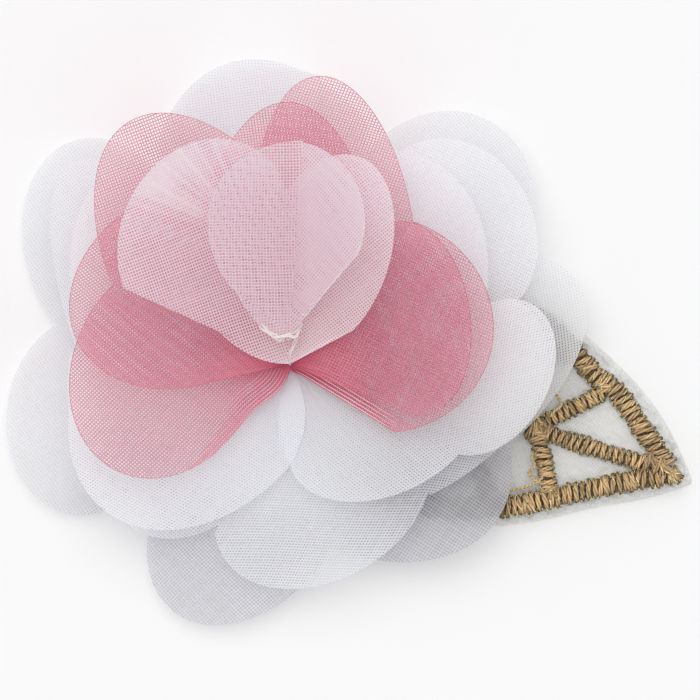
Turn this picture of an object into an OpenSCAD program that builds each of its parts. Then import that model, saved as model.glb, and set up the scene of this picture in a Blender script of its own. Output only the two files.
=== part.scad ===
// Organza flower rosette with an embroidered leaf, made to be sewn on.
// The flower lies on its back. +Z is up, out of its face, and +X is to the right.
// The origin is the point where the gathering stitch meets the surface below.
// Each cloth sheet is one wall, gathered at the stitch, with a ring of lobes for its edge.
// Sheets lie on each other: each one's height is that of the sheet below, and its own rise.

/* [Cloth] */
// Thickness of a cloth wall, measured upright
wall = 1.05; // [1:0.05:1.2]
// Clear gap between one piece and the next
gap = 0.2; // [0.15:0.05:0.3]
// Distance from the middle at which the tables give a lobe's rise
rise_radius = 25; // [22:1:30]

/* [Stitch] */
// Radius of the wound thread that gathers the sheets
stitch_r = 0.45; // [0.3:0.05:0.45]
// Radius of the hole that the thread fills in each sheet
stitch_hole_r = 0.55; // [0.5:0.05:0.6]

/* [Leaf] */
// Height of the raised satin stitches on the leaf
satin_t = 0.8; // [0.5:0.1:1]
// Width of the two stitched rails along the leaf's sides
rail_w = 2.0; // [1.5:0.1:2.1]
// Width of the stitched midrib and side veins
vein_w = 1.5; // [1:0.1:1.5]

/* [Inner cup] */
// Depth of the valley folded into the inner cup
valley_depth = 2.4; // [1:0.2:3]
// Distance over which the valley's sides rise
valley_w = 5; // [3:0.5:8]

/* [Hidden] */

white = [0.93, 0.93, 0.95];
rose = [0.86, 0.45, 0.56];
blush = [0.93, 0.82, 0.87];
ivory = [0.90, 0.88, 0.83];
bronze = [0.62, 0.46, 0.27];

// A lobe runs from its first angle to the next row's. Its edge is the far side of an ellipse
// with this centre, long and short radius and turn, seen from the gathering point.
// Its rise is how far it climbs above the sheet below at rise_radius.
FROM = 0; CENTRE_X = 1; CENTRE_Y = 2; LONG = 3; SHORT = 4; TURN = 5; RISE = 6;

// from, centre x, centre y, long, short, turn, rise
white_lower_lobes = [
    [-20,  10.3,  -3.6, 21.9, 10.65, 32, 0.50],
    [ 27,  14.7,  14.9, 10.8,  9.4,  59, -0.70],
    [ 72,   1.4,   5.2, 26.1, 14.9, -73, -1.75],
    [121, -18.4,  11.6, 11.3,  8.2, -74, -1.75],
    [171, -20.4,  -5.1, 10.1,  8.0,  82, -1.75],
    [226,  -3.9, -14.8, 12.7,  8.8,  52, -1.85],
    [283,   6.5,  -6.5, 16.9, 11.8, -31,  0.40]
];
white_middle_lobes = [
    [ 16,  16.2,  13.1,  9.7,  8.3, -65,  1.3],
    [ 84,   2.4,  21.0, 13.7,  7.7, -20,  1.3],
    [120, -10.8,  -1.8, 24.5,  8.5, -64,  1.3],
    [177, -10.5,  -0.3, 17.3, 11.6,  81,  1.0],
    [246,   3.3, -13.4, 11.6,  8.1,  30,  1.2],
    [317,   9.25, -3.85, 17.6, 10.4, 25.5, 0.8]
];
white_upper_lobes = [
    [ 17,  -3.1,  -4.1, 30.0, 16.7,  51,  1.4],
    [ 68,   0.0,  14.4, 10.0, 10.0,   0,  1.4],
    [126, -14.8,   6.9, 12.8,  7.0, -81,  1.2],
    [178,  -8.7,  -2.3, 15.8, 11.7,  51,  1.0],
    [270,   9.3,  -6.8,  9.9,  6.3,  23,  1.6],
    [332,  20.0,  -1.3,  8.4,  5.8,  60,  0.8]
];
pink_lower_lobes = [
    [-33,   8.8,   4.0, 11.6, 10.8, -16,  2.6],
    [ 49,   4.6,  12.2, 16.6,  7.9, -83,  2.2],
    [ 99,  -6.6,   8.5, 18.3, 10.3, -59,  2.2],
    [156, -12.3,  -0.3, 11.5,  9.3,  65,  2.4],
    [232,   0.0,   0.0,  0.0,  0.0,   0,  2.4]
];
pink_upper_lobes = [
    [-32,  12.1,   4.5,  9.8,  5.9, -82,  1.0],
    [ 56,  -0.6,   0.7, 25.4, 10.5,  89,  1.0],
    [115,  -9.5,   7.9, 13.0,  9.8,  25,  1.2],
    [196,   0.0,   0.0,  0.0,  0.0,   0,  1.0]
];
pale_lobes = [
    [ 28,   3.5,  10.9, 10.3,  6.4,  71,  3.6],
    [ 91,  -8.4,  12.5, 10.2,  8.4,  66,  3.0],
    [155.5, -6.25, 33.15, 13.75, 33.71, 11.67, 3.0],
    [178,   0.0,   0.0,  0.0,  0.0,   0,  3.0]
];
cup_lobes = [
    [ 50,  -0.5,  10.9,  8.4,  7.8,  68,  3.0],
    [ 86,   4.2,   8.8, 12.9,  9.8, -26,  3.0],
    [141,  -0.8,   4.3,  6.2,  3.9, -50,  3.0],
    [205,   0.0,   0.0,  0.0,  0.0,   0,  3.0]
];

// A sheet's lobes, its least radius, its wall over the cloth's, the height of its lobes'
// middles over their notches, and how far its gathering point lies in front of the stitch
LOBES = 0; HUB = 1; WALL = 2; BOWL = 3; FORWARD = 4;
SHEETS = [
    [white_lower_lobes,  18.0, 1.00, 0.65, 0.0],
    [white_middle_lobes, 15.0, 1.00, 0.80, 0.0],
    [white_upper_lobes,   8.0, 1.00, 0.80, 0.0],
    [pink_lower_lobes,    0.9, 1.05, 1.20, 0.0],
    [pink_upper_lobes,    0.9, 1.05, 1.00, 0.0],
    [pale_lobes,          0.5, 1.15, 0.80, 0.0],
    [cup_lobes,           0.5, 1.40, 0.00, 2.9]
];
first_pierced_last = 4;     // the thread passes through the sheets up to this one
columns_a_lobe = 12;
columns_no_lobe = 6;        // in a stretch where a sheet has no lobe
rings = [0, 0.3, 0.58, 0.82, 1];
valley_x = 1.0;             // the valley of the inner cup runs along this line
spread = 35;                // angle over which one lobe's rise blends into the next

stack_z = wall + gap + satin_t + gap;   // underside of the lowest sheet at the middle

function sum(v, i = 0) = i < len(v) ? v[i] + sum(v, i + 1) : 0;
function turn_between(a, b) = let (d = (a - b) % 360) d > 180 ? d - 360 : d < -180 ? d + 360 : d;

// Distance from the gathering point to the far side of a lobe's ellipse at an angle
function far_side(lobe, angle) =
    lobe[LONG] == 0 ? 0 :
    let (
        t = lobe[TURN],
        ux = cos(angle - t) / lobe[LONG],
        uy = sin(angle - t) / lobe[SHORT],
        cx = (lobe[CENTRE_X] * cos(t) + lobe[CENTRE_Y] * sin(t)) / lobe[LONG],
        cy = (lobe[CENTRE_Y] * cos(t) - lobe[CENTRE_X] * sin(t)) / lobe[SHORT],
        a = ux * ux + uy * uy,
        b = ux * cx + uy * cy,
        d = b * b - a * (cx * cx + cy * cy - 1)
    )
    d > 0 ? (b + sqrt(d)) / a : 0;

function lobe_end(lobes, i) = i + 1 < len(lobes) ? lobes[i + 1][FROM] : lobes[0][FROM] + 360;
function lobe_middle(lobes, i) = (lobes[i][FROM] + lobe_end(lobes, i)) / 2;

// One sheet's rise at an angle: a blend of its lobes' rises, and a bowl in each lobe
function blend(lobes, i, angle) = exp(-pow(turn_between(angle, lobe_middle(lobes, i)) / spread, 2));
function bowl(lobes, i, angle) =
    let (part = turn_between(angle, lobe_middle(lobes, i)) / (lobe_end(lobes, i) - lobes[i][FROM]))
    abs(part) < 0.5 ? pow(cos(180 * part), 2) : 0;
function own_rise(sheet, angle) =
    let (
        lobes = sheet[LOBES],
        weights = [for (i = [0 : len(lobes) - 1]) blend(lobes, i, angle)],
        rises = [for (i = [0 : len(lobes) - 1]) weights[i] * lobes[i][RISE]],
        bowls = [for (i = [0 : len(lobes) - 1]) bowl(lobes, i, angle)]
    )
    sum(rises) / sum(weights) + sheet[BOWL] * sum(bowls);

// The inner cup's own fold: both its sides climb away from the valley
function valley(p) = valley_depth * (1 - exp(-pow((p[0] - valley_x) / valley_w, 2)));

function sheet_wall(level) = wall * SHEETS[level][WALL];
function level_z(level) = level == 0 ? stack_z : level_z(level - 1) + sheet_wall(level - 1) + gap;
function underside(level, p) =
    let (
        angle = atan2(p[1], p[0]),
        out = (p[0] * p[0] + p[1] * p[1]) / (rise_radius * rise_radius),
        rises = [for (i = [0 : level]) own_rise(SHEETS[i], angle)],
        fold = level == len(SHEETS) - 1 ? valley(p) : 0
    )
    level_z(level) + out * sum(rises) + fold;

// The angles of a sheet's columns, closer together near the notches
function column_count(lobe) = lobe[LONG] > 0 ? columns_a_lobe : columns_no_lobe;
function columns(lobes) = [
    for (i = [0 : len(lobes) - 1]) let (n = column_count(lobes[i])) for (k = [0 : n - 1])
        [i, lobes[i][FROM] + (1 - cos(180 * k / n)) / 2 * (lobe_end(lobes, i) - lobes[i][FROM])]
];

// Outer edge of a sheet at a column: a notch takes the longer of the two lobes that meet there
function edge(sheet, column) =
    let (
        lobes = sheet[LOBES],
        i = column[0],
        before = lobes[(i + len(lobes) - 1) % len(lobes)],
        at_notch = column[1] == lobes[i][FROM]
    )
    max(sheet[HUB], far_side(lobes[i], column[1]), at_notch ? far_side(before, column[1]) : 0);

function ring_points(level, inner) = let (sheet = SHEETS[level], cols = columns(sheet[LOBES])) [
    for (k = [inner > 0 ? 0 : 1 : len(rings) - 1]) for (col = cols)
        let (r = inner + rings[k] * (edge(sheet, col) - inner))
        [r * cos(col[1]), r * sin(col[1]) + sheet[FORWARD]]
];

// A sheet as one closed wall: its plan points above and below, and a middle point if it has no hole
module petal_sheet(level) {
    pierced = level <= first_pierced_last;
    plan = concat(
        ring_points(level, pierced ? stitch_hole_r : 0),
        pierced ? [] : [[0, SHEETS[level][FORWARD]]]
    );
    low = [for (p = plan) [p[0], p[1], underside(level, p)]];
    high = [for (p = low) [p[0], p[1], p[2] + sheet_wall(level)]];
    n = len(plan);
    m = len(columns(SHEETS[level][LOBES]));
    bands = floor(n / m) - 1;
    cells = [for (k = [0 : bands - 1]) for (j = [0 : m - 1])
        [k * m + j, k * m + (j + 1) % m, (k + 1) * m + (j + 1) % m, (k + 1) * m + j]];
    upper = [for (c = cells) for (f = [[c[0], c[1], c[2]], [c[0], c[2], c[3]]]) f];
    lower = [for (f = upper) [f[0] + n, f[2] + n, f[1] + n]];
    rim = [for (j = [0 : m - 1]) let (a = bands * m + j, b = bands * m + (j + 1) % m)
        for (f = [[a, b, b + n], [a, b + n, a + n]]) f];
    hole = [for (j = [0 : m - 1]) let (b = (j + 1) % m)
        for (f = [[j, b + n, b], [j, j + n, b + n]]) f];
    middle = [for (j = [0 : m - 1]) let (b = (j + 1) % m)
        for (f = [[n - 1, b, j], [n - 1 + n, j + n, b + n]]) f];
    polyhedron(concat(high, low), concat(upper, lower, rim, pierced ? hole : middle));
}

module petals_white_lower() { color(white) petal_sheet(0); }
module petals_white_middle() { color(white) petal_sheet(1); }
module petals_white_upper() { color(white) petal_sheet(2); }
module petals_pink_lower() { color(rose) petal_sheet(3); }
module petals_pink_upper() { color(rose) petal_sheet(4); }
module petals_pale() { color(blush) petal_sheet(5); }
module petal_cup() { color(blush) petal_sheet(6); }

// The thread that is wound through the gathered sheets, from the surface to under the pale petals
module centre_stitch() {
    color(white) cylinder(h = level_z(first_pierced_last + 1) - gap, r = stitch_r, $fn = 24);
}

// Stations along the leaf, from its root under the flower to its tip: x, upper edge, lower edge
leaf_stations = [
    [-3.5,   0.7,  -0.7],
    [-2.5,   2.6,  -2.6],
    [ 0.0,   4.4,  -4.2],
    [ 5.0,   7.6,  -9.9],
    [10.0,   9.6, -13.9],
    [15.0,   9.9, -16.0],
    [20.0,   8.8, -16.3],
    [25.0,   6.4, -15.7],
    [30.0,   2.6, -14.5],
    [35.0,  -2.3, -13.6],
    [38.0,  -6.6, -12.8],
    [40.2, -11.4, -12.0]
];
smooth_steps = 4;

// A smooth line through a list of points, each stretch a cubic that takes its slope from its neighbours
function at_end(points, i) = points[max(0, min(len(points) - 1, i))];
function cubic(a, b, c, d, t) =
    0.5 * (2 * b + t * (c - a) + t * t * (2 * a - 5 * b + 4 * c - d) + t * t * t * (3 * b - a - 3 * c + d));
function smooth(points) = concat(
    [for (i = [0 : len(points) - 2]) for (k = [0 : smooth_steps - 1])
        cubic(at_end(points, i - 1), points[i], points[i + 1], at_end(points, i + 2), k / smooth_steps)],
    [points[len(points) - 1]]
);

module leaf() {
    stations = smooth(leaf_stations);
    above = [for (s = stations) [s[0], s[1]]];
    below = [for (i = [len(stations) - 1 : -1 : 0]) [stations[i][0], stations[i][2]]];
    color(ivory) difference() {
        linear_extrude(wall) polygon(concat(above, below));
        translate([0, 0, -1]) cylinder(h = wall + 2, r = stitch_hole_r, $fn = 24);
    }
}

// A raised band of satin stitches along a smooth line of points
module satin_band(points, width) {
    path = smooth(points);
    last = len(path) - 1;
    sides = [for (i = [0 : last])
        let (d = path[min(last, i + 1)] - path[max(0, i - 1)], l = norm(d))
        [-d[1], d[0]] * (width / 2 / l)];
    left = [for (i = [0 : last]) path[i] + sides[i]];
    right = [for (i = [last : -1 : 0]) path[i] - sides[i]];
    color(bronze) translate([0, 0, wall + gap]) linear_extrude(satin_t) polygon(concat(left, right));
}

module rail_upper() {
    satin_band([[4.5, 5.0], [9, 6.4], [14, 6.8], [19, 6.4], [22.3, 5.6], [24.5, 4.7], [27.2, 3.2], [29.4, 1.3],
        [30.8, -1.0], [32.7, -2.8], [34.9, -5.9], [36.5, -8.2], [37.4, -9.6]], rail_w);
}
module rail_lower() {
    satin_band([[4.4, -5.0], [6.2, -9.2], [9.6, -12.6], [14, -14.3], [21.5, -14.3], [25, -13.7],
        [28, -13.0], [31, -12.35], [34, -11.75], [38.7, -11.1]], rail_w);
}
module midrib() {
    satin_band([[5.5, -0.8], [9.5, -1.6], [15, -2.7], [19, -4.0], [22.5, -5.8], [25.3, -6.8],
        [27.8, -7.6], [31.5, -8.8], [34.4, -9.65]], vein_w);
}
module vein_upper_root() { satin_band([[10.6, -0.3], [13.4, 2.1], [16.0, 4.6]], vein_w); }
module vein_upper_middle() { satin_band([[19.1, -2.3], [23.0, -0.5], [27.1, 0.85]], vein_w); }
module vein_upper_tip() { satin_band([[26.05, -5.55], [27.5, -4.85], [29, -4.1], [30.9, -3.1]], vein_w); }
module vein_lower_root() { satin_band([[9.8, -2.8], [10.3, -7.5], [11.3, -11.5]], vein_w); }
module vein_lower_middle() { satin_band([[17.55, -4.8], [18.5, -9.3], [19.8, -12.7]], vein_w); }
module vein_lower_tip() { satin_band([[25.05, -8.05], [25.5, -10.0], [25.95, -12.2]], vein_w); }

leaf();
rail_upper();
rail_lower();
midrib();
vein_upper_root();
vein_upper_middle();
vein_upper_tip();
vein_lower_root();
vein_lower_middle();
vein_lower_tip();
petals_white_lower();
petals_white_middle();
petals_white_upper();
petals_pink_lower();
petals_pink_upper();
petals_pale();
petal_cup();
centre_stitch();
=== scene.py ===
# %% [markdown]
# # A sheer organza flower with an embroidered leaf
#
# This part is a sew-on flower: petals of organza, a fine and see-through woven cloth, gathered on
# one thread, over a leaf of the same cloth that carries veins in satin stitch. The construction
# model gives each piece's place and size. This script gives every piece its real surface: thin
# cloth with a woven pattern, stitches laid side by side, and thread.

# %% Load the frame
import math
import bmesh
import bpy
import numpy as np
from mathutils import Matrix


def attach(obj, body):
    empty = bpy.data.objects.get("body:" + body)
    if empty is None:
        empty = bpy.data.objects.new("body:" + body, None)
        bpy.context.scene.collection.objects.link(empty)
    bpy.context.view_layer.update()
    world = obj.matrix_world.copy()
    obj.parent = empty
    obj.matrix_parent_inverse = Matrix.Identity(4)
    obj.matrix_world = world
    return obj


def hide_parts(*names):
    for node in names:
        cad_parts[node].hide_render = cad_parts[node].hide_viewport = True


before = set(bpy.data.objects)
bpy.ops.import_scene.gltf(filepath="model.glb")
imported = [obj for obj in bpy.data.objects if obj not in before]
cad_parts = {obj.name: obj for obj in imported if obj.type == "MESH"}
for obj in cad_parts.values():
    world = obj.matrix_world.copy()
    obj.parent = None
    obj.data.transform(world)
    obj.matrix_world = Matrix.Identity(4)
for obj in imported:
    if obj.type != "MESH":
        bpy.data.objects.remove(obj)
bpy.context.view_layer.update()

MM = 0.001
print("pieces of the construction model:", len(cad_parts))

# %% [markdown]
# ## The camera
#
# The picture is taken from straight above. The camera stands far off with a long lens, so that
# the higher petals look hardly larger than the lower ones, as in a product photograph. The
# picture is 70 mm wide at the height of the petals.

# %% Camera
CAMERA_HEIGHT = 2.0
PICTURE_WIDTH = 70 * MM
PICTURE_MIDDLE = (6.0 * MM, 1.4 * MM)
PETAL_HEIGHT = 5 * MM
camera_data = bpy.data.cameras.new("camera")
camera_data.sensor_width = 36
camera_data.lens = 36 * (CAMERA_HEIGHT - PETAL_HEIGHT) / PICTURE_WIDTH
camera_data.clip_start, camera_data.clip_end = 0.1, 10
camera = bpy.data.objects.new("camera", camera_data)
camera.location = (*PICTURE_MIDDLE, CAMERA_HEIGHT)
bpy.context.scene.collection.objects.link(camera)
bpy.context.scene.camera = camera
print("lens, mm:", round(camera_data.lens))

# %% [markdown]
# ## Numbers into meshes
#
# Cloth and thread are both a grid of points bent into shape. One helper turns an array of points,
# rows by columns, into a mesh: each square of the grid is a face. It can close the grid into a
# tube, and it stores UV maps and per-point values for the materials.

# %% Grid to mesh
def grid_faces(rows, columns, closed):
    """Squares of a grid: corner (row, column), the next column, the next row of both. Closed grids join
    the last column to the first."""
    r = np.arange(rows - 1)[:, None]
    c = np.arange(columns if closed else columns - 1)[None, :]
    n = (c + 1) % columns
    here, above = r * columns, (r + 1) * columns
    return np.stack([here + c, above + c, above + n, here + n], -1).reshape(-1, 4)


def new_piece(name, points, faces, maps=None, values=None, weld=False):
    """A mesh object of these points and faces. Maps are UV maps given point by point, values are numbers
    given point by point. Weld joins points that coincide, so that seams are closed."""
    mesh = bpy.data.meshes.new(name)
    mesh.from_pydata(np.asarray(points).reshape(-1, 3).tolist(), [], np.asarray(faces).tolist())
    corners = np.empty(len(mesh.loops), dtype=np.int32)
    mesh.loops.foreach_get("vertex_index", corners)
    for title, flat in (maps or {}).items():
        layer = mesh.uv_layers.new(name=title)
        layer.data.foreach_set("uv", np.asarray(flat, dtype=np.float32).reshape(-1, 2)[corners].ravel())
    for title, number in (values or {}).items():
        layer = mesh.attributes.new(title, "FLOAT", "POINT")
        layer.data.foreach_set("value", np.asarray(number, dtype=np.float32).ravel())
    if weld:
        whole = bmesh.new()
        whole.from_mesh(mesh)
        bmesh.ops.remove_doubles(whole, verts=whole.verts, dist=1e-7)
        whole.to_mesh(mesh)
        whole.free()
    mesh.polygons.foreach_set("use_smooth", np.ones(len(mesh.polygons), dtype=bool))
    piece = bpy.data.objects.new(name, mesh)
    bpy.context.scene.collection.objects.link(piece)
    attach(piece, "root")
    print(f"{name}: {len(mesh.vertices)} points, {len(mesh.polygons)} faces")
    return piece

# %% [markdown]
# ## Shader maths
#
# A material's patterns are worked out by nodes. Wiring Math nodes by hand is slow to read, so a
# small class wraps a node's output: adding, multiplying or comparing wrapped outputs adds the
# Math nodes. One method, node, makes any other node.

# %% Wrapped sockets
def operator(operation, swapped=False):
    """A method that adds one Math node. Swapped puts the other number first, for a number left of the
    sign."""
    def method(self, *others):
        return self.maths(operation, *((*others, self) if swapped else (self, *others)))
    return method


class Signal:
    """An output of a node, as a number that changes over the surface."""

    def __init__(self, tree, socket=None):
        self.tree, self.socket = tree, socket

    def node(self, kind, settings=None, inputs=None, out=0):
        """A new node: its settings first, then its inputs by name or place, as numbers or as signals."""
        made = self.tree.nodes.new(kind)
        for key, value in (settings or {}).items():
            setattr(made, key, value)
        for key, value in (inputs or {}).items():
            if isinstance(value, Signal):
                self.tree.links.new(value.socket, made.inputs[key])
            else:
                made.inputs[key].default_value = value
        return Signal(self.tree, made.outputs[out])

    def maths(self, operation, *numbers, clamp=False):
        """One Math node on these numbers."""
        settings = {"operation": operation, "use_clamp": clamp}
        return self.node("ShaderNodeMath", settings, dict(enumerate(numbers)))

    __add__, __radd__ = operator("ADD"), operator("ADD", swapped=True)
    __sub__, __rsub__ = operator("SUBTRACT"), operator("SUBTRACT", swapped=True)
    __mul__, __rmul__ = operator("MULTIPLY"), operator("MULTIPLY", swapped=True)
    __abs__, floor, fract = operator("ABSOLUTE"), operator("FLOOR"), operator("FRACT")
    cosine, larger = operator("COSINE"), operator("MAXIMUM")

    def clamped(self):
        """The same number, held between 0 and 1."""
        return self.maths("ADD", self, 0.0, clamp=True)

    def mix(self, low, high):
        """A colour between two others: low where this signal is 0 and high where it is 1."""
        low, high = (c if isinstance(c, Signal) else (*c, 1) for c in (low, high))
        return self.node("ShaderNodeMix", {"data_type": "RGBA"}, {0: self, 6: low, 7: high}, out=2)

    def mix_shaders(self, low, high):
        """A surface between two others, in the same way."""
        return self.node("ShaderNodeMixShader", inputs={0: self, 1: low, 2: high})


print("what a signal can do:", ", ".join(name for name in vars(Signal) if not name.startswith("_")))

# %% [markdown]
# ## What materials share
#
# Every material here starts from an empty one and ends in a surface node. Patches of noise, bumps,
# the twist of a thread and numbers stored on the mesh are used by several, so each gets a helper.

# %% Helpers for materials
def new_finish(name):
    """An empty material, as (material, a signal to start from, its Principled node)."""
    finish = bpy.data.materials.new(name)
    finish.use_nodes = True
    tree = finish.node_tree
    tree.nodes.clear()
    surface = tree.nodes.new("ShaderNodeBsdfPrincipled")
    output = tree.nodes.new("ShaderNodeOutputMaterial")
    tree.links.new(surface.outputs[0], output.inputs[0])
    return finish, Signal(tree), surface


def feed(surface, **inputs):
    """Links signals to a Principled node's sockets, and sets plain numbers and colours on them."""
    for key, value in inputs.items():
        socket = surface.inputs[key.replace("_", " ")]
        if isinstance(value, Signal):
            value.tree.links.new(value.socket, socket)
        else:
            socket.default_value = value


def mesh_value(new, name):
    """A number that the mesh carries point by point."""
    return new.node("ShaderNodeAttribute", {"attribute_name": name}, out=2)


def map_axes(new, title):
    """The two coordinates of a UV map."""
    first = new.node("ShaderNodeSeparateXYZ", inputs={0: new.node("ShaderNodeUVMap", {"uv_map": title})})
    return first, Signal(new.tree, first.socket.node.outputs[1])


def patches(new, number, detail):
    """Noise over the object's own coordinates, with this number of patches to the metre."""
    place = new.node("ShaderNodeTexCoord", out=3)
    return new.node("ShaderNodeTexNoise", {"noise_dimensions": "3D"},
                    {"Vector": place, "Scale": number, "Detail": detail})


def bumps(new, strength, depth, height):
    """A normal tilted by the slope of a height, which stands for so many millimetres."""
    return new.node("ShaderNodeBump", inputs={"Strength": strength, "Distance": depth * MM, "Height": height})


def twist_wave(new, waves):
    """The plies of a twisted thread as a slanting wave from 0 to 1: a cosine, with this many waves to the
    millimetre along the thread and two round it."""
    along, around = map_axes(new, "Thread")
    return ((along * waves + around * 2.0) * (2 * math.pi)).cosine() * 0.5 + 0.5

# %% [markdown]
# ## Organza
#
# Organza is a plain weave of fine, stiff, shiny threads with open holes between them, so what lies
# behind it shows through the holes. Where two plies lie on each other, the threads of one half
# fill the holes of the other, which makes the colour deeper and draws bands of moire. A painted
# picture of that would be wrong from any other side. So each ply gets its own woven pattern of
# threads and holes: its UV map counts threads, and a thread lies in the middle between two whole
# numbers. The threads pass over one another and then under, and that height paints the crossings:
# a lighter colour on top as a painted highlight, and a darker one in the dips as painted shade.
# Part of the light goes through a thread, in the thread's own colours.

# %% Woven cloth
# a thread's side fades over one part in so many of the pitch
SHARPNESS = 7.0
# threads are uneven: the least part of their width that they have, and what chance adds to it
LEAST_WIDTH, SPARE_WIDTH = 0.88, 0.24
# half a packed thread's width, in pitches: a little over half a pitch, so that it reaches its neighbour
PACKED_HALF = 0.56
# brings the wave of over and under to a height between 0.24 and 1.04
LIFT, HEIGHT_PART = 1.6, 0.4
# how many patches of clouding, of small creases and of flecks there are to the metre
CLOUDS, CREASES, FLECKS = 160.0, 1900.0, 4700.0


def organza(name, light, dark, widths, solidity, glow, crinkle=0.0, close=None, deep=None):
    """Thread colours where it rises, lighter as a painted highlight, and where it dips, darker as painted
    shade; widths as parts of the pitch, how much a thread hides, and which part of the light goes through
    it. A point is on a thread if its distance from the thread's middle line is under half the width. The
    width grows to the whole pitch where the mesh says that the cloth is packed, and the colour turns to the
    one named close there. A crinkled cloth is flecked there too. Deep is a pair of colours for painted
    shade, for the threads' tops and dips, used where the mesh gives painted shade: the threads darken
    towards them and the holes fill with the dips' colour, as shade under the cloth. The outermost tenth of
    a millimetre has no holes."""
    finish, new, surface = new_finish(name)
    warp, weft = map_axes(new, "Weave")
    packed, rim = mesh_value(new, "packed"), mesh_value(new, "rim")

    def family(across, width):
        """How far a thread covers this point, from 0 to 1, and which thread it is."""
        number = across.floor()
        uneven = new.node("ShaderNodeTexWhiteNoise", {"noise_dimensions": "1D"}, {"W": number})
        half = (width * 0.5) * (LEAST_WIDTH + uneven * SPARE_WIDTH)
        half = half + (PACKED_HALF - half) * packed
        away = abs(across.fract() - 0.5)
        return ((half - away) * SHARPNESS + 0.5).clamped(), number, uneven

    def lit_through(shade):
        """Light that goes through the threads, in one colour."""
        return new.node("ShaderNodeBsdfTranslucent", inputs={"Color": (*shade, 1)})

    warp_on, warp_number, warp_tone = family(warp, widths[0])
    weft_on, weft_number, weft_tone = family(weft, widths[1])
    warp_rise = ((weft - 0.5 - warp_number) * math.pi).cosine()
    weft_rise = 0.0 - ((warp - 0.5 - weft_number) * math.pi).cosine()
    height = (warp_on * (warp_rise + LIFT)).larger(weft_on * (weft_rise + LIFT)) * HEIGHT_PART
    thread_on = warp_on.larger(weft_on).larger((1.3 - rim * 13.0).clamped())
    cloud = patches(new, CLOUDS, 2.0)
    # the threads' height paints the crossings: lighter on top as a painted highlight, darker in the dips as
    # painted shade; thread unevenness and clouds add random tone
    tone = (height + (warp_tone + weft_tone) * 0.12 + (cloud - 0.5) * 0.5 - 0.12).clamped()
    dip, top, cover = dark, light, thread_on
    through = tone.mix_shaders(lit_through(dark), lit_through(light))
    # painted shade: where the mesh asks for it, the threads darken towards the deep colours and the holes
    # fill with the dips' dark colour
    if deep:
        dim = mesh_value(new, "dim")
        dip, top = dim.mix(dark, deep[1]), dim.mix(light, deep[0])
        cover = thread_on.larger(dim * 0.8)
        through = dim.mix_shaders(through, lit_through([0.65 * a + 0.35 * b for a, b in zip(*deep)]))
    colour = tone.mix(dip, top)
    if deep:
        colour = thread_on.mix(deep[1], colour)
    relief, flecks = height, close
    if crinkle:
        relief = height * 0.3 + patches(new, CREASES, 4.0) * crinkle
        grit = (patches(new, FLECKS, 3.0) * 5.0 - 2.1).clamped()
        flecks = grit.mix([0.87 * c for c in close], [min(1.03 * c, 1) for c in close])
    if close:
        colour = packed.mix(colour, flecks)
        through = packed.mix_shaders(through, lit_through(close))
    bump = bumps(new, 0.3 + crinkle * 0.9, 0.05 + 0.07 * crinkle, relief)
    feed(surface, Base_Color=colour, Roughness=0.5, Normal=bump, Specular_IOR_Level=0.35)
    front = Signal(new.tree, surface.outputs[0])
    thread = new.node("ShaderNodeMixShader", inputs={0: glow, 1: front, 2: through})
    cloth = (cover * solidity).mix_shaders(new.node("ShaderNodeBsdfTransparent"), thread)
    new.tree.links.new(cloth.socket, new.tree.nodes["Material Output"].inputs[0])
    return finish


# painted shade colours for the two lowest white sheets: for the threads' tops, then for their dips and holes
dim_white = (0.84, 0.845, 0.875), (0.34, 0.325, 0.385)
# each cloth's first colour is the painted highlight on the threads' tops, and the second the painted shade in
# their dips
white_cloth = organza("white_organza", (0.972, 0.980, 0.998), (0.945, 0.955, 0.988), (0.60, 0.56), 0.90,
                      glow=0.5, deep=dim_white)
# the same white organza, painted a little darker and less blue, with more holes, as shade on the lowest sheet
white_cloth_painted_shade = organza("white_organza_painted_shade", (0.965, 0.97, 0.985), (0.945, 0.95, 0.97), (0.60, 0.58),
                            0.84, glow=0.5, deep=dim_white)
rose_cloth = organza("rose_organza", (0.98, 0.47, 0.565), (0.58, 0.06, 0.14), (0.28, 0.27), 0.97,
                     glow=0.45, close=(0.76, 0.14, 0.235))
blush_cloth = organza("blush_organza", (0.97, 0.88, 0.945), (0.91, 0.77, 0.87), (0.48, 0.46), 0.95,
                      glow=0.4, close=(0.97, 0.905, 0.915))
cup_cloth = organza("cup_organza", (0.922, 0.79, 0.85), (0.855, 0.67, 0.76), (0.48, 0.46), 0.95, glow=0.4)
ivory_cloth = organza("ivory_organza", (0.96, 0.955, 0.935), (0.86, 0.855, 0.83), (0.93, 0.90), 0.97,
                      glow=0.3, crinkle=0.8, close=(0.975, 0.97, 0.955))
print("cloths:", ", ".join(finish.name for finish in bpy.data.materials))

# %% [markdown]
# ## The petals' tables
#
# The flower is made of seven gathered sheets, and each has a ring of petals, its lobes. A lobe's
# edge is a piece of an ellipse, as a cutting die would make it: the tables give the ellipse's
# centre, long and short radius in millimetres, and turn. A lobe runs from its own first angle to
# the next row's. Rise is how far it climbs off the sheet below, 25 mm out from the middle. The
# last four numbers are the weave: the directions in which the two families of threads follow each
# other, and the spacing of each in millimetres.

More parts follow.
